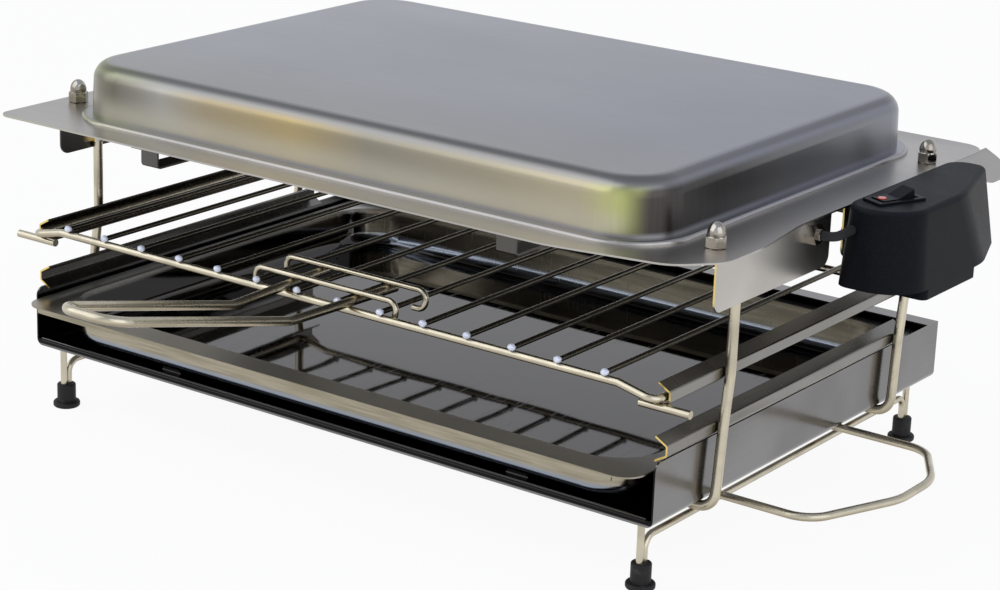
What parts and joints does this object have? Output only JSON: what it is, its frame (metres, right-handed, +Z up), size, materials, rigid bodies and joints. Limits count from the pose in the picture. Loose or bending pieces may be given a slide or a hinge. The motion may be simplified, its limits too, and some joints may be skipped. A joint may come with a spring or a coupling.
{
  "type": "electric fish roaster",
  "caption": "Tabletop fish roaster: a stamped steel hood and heating element over a sliding wire rack with a clip-on handle and a drip tray, on bent wire frames with a side switch box.",
  "frame": {"origin": "middle of the whole length and depth, on the floor that the rubber feet stand on", "axes": "+X to the side with the switch box, +Y from the handle to the back, +Z up"},
  "size_m": [0.5146, 0.4934, 0.207],
  "materials": {
    "hood_steel": "satin stamped steel",
    "plate_steel": "satin sheet steel",
    "base_steel": "polished sheet steel",
    "tray_steel": "mirror-polished sheet steel",
    "rail_steel": "satin sheet steel",
    "nickel_wire": "nickel-plated wire",
    "chrome_fixings": "bright chrome",
    "element_sheath": "dark heat-tinted sheath",
    "black_rubber": "matte",
    "cover_plastic": "fine-grained matte",
    "switch_plastic": "semi-gloss",
    "red_lens": "glossy",
    "terminal_plastic": "matte",
    "brass_screws": "plain",
    "lead_sheath": "woven heat-proof sleeve"
  },
  "bodies": {
    "root": {"hood": "hood_steel", "base_housing": "base_steel", "rear_bumpers": "black_rubber", "front_frame": "nickel_wire", "rear_frame": "nickel_wire", "left_foot_runner": "nickel_wire", "right_foot_runner": "nickel_wire", "leg_wires": "nickel_wire", "rubber_feet": "black_rubber", "side_loop": "nickel_wire", "upper_rail_left": "rail_steel", "upper_rail_right": "rail_steel", "lower_rail_left": "rail_steel", "lower_rail_right": "rail_steel", "end_plate_front_left": "plate_steel", "end_plate_rear_left": "plate_steel", "end_plate_front_right": "plate_steel", "end_plate_rear_right": "plate_steel", "post_straps": "plate_steel", "hood_bolts": "chrome_fixings", "acorn_nuts": "chrome_fixings", "heating_element": "element_sheath", "element_supports": "plate_steel", "element_ferrules": "chrome_fixings", "element_nuts": "chrome_fixings", "element_pins": "chrome_fixings", "control_box": "cover_plastic", "box_lid": "cover_plastic", "lid_screws": "chrome_fixings", "cord_bush": "black_rubber", "box_spacers": "chrome_fixings", "box_screws": "chrome_fixings", "box_nuts": "chrome_fixings", "switch_body": "switch_plastic", "rocker_pin": "chrome_fixings", "lead_sleeve": "lead_sheath", "terminal_strip": "terminal_plastic", "strip_screws": "brass_screws", "box_leads": "lead_sheath"},
    "rack": {"rack_frame": "nickel_wire", "rack_rods": "nickel_wire", "rack_stops": "nickel_wire"},
    "handle": {"handle_grip": "nickel_wire", "handle_clips": "nickel_wire"},
    "tray": {"drip_tray": "tray_steel"},
    "rocker": {"rocker": "switch_plastic", "rocker_lens": "red_lens"}
  },
  "joints": [
    {"name": "rack_slide", "type": "slide", "parent": "root", "child": "rack", "axis": [0, -1, 0], "range_m": [0, 0.2]},
    {"name": "handle_slide", "type": "slide", "parent": "rack", "child": "handle", "axis": [0, 1, 0], "range_m": [0, 0.05]},
    {"name": "tray_slide", "type": "slide", "parent": "root", "child": "tray", "axis": [0, -1, 0], "range_m": [0, 0.22]},
    {"name": "rocker_tilt", "type": "hinge", "parent": "root", "child": "rocker", "pos_m": [0.215, 0.09915, 0.1764], "axis": [-0.9205, 0.3907, 0], "range_deg": [0, 24]}
  ]
}
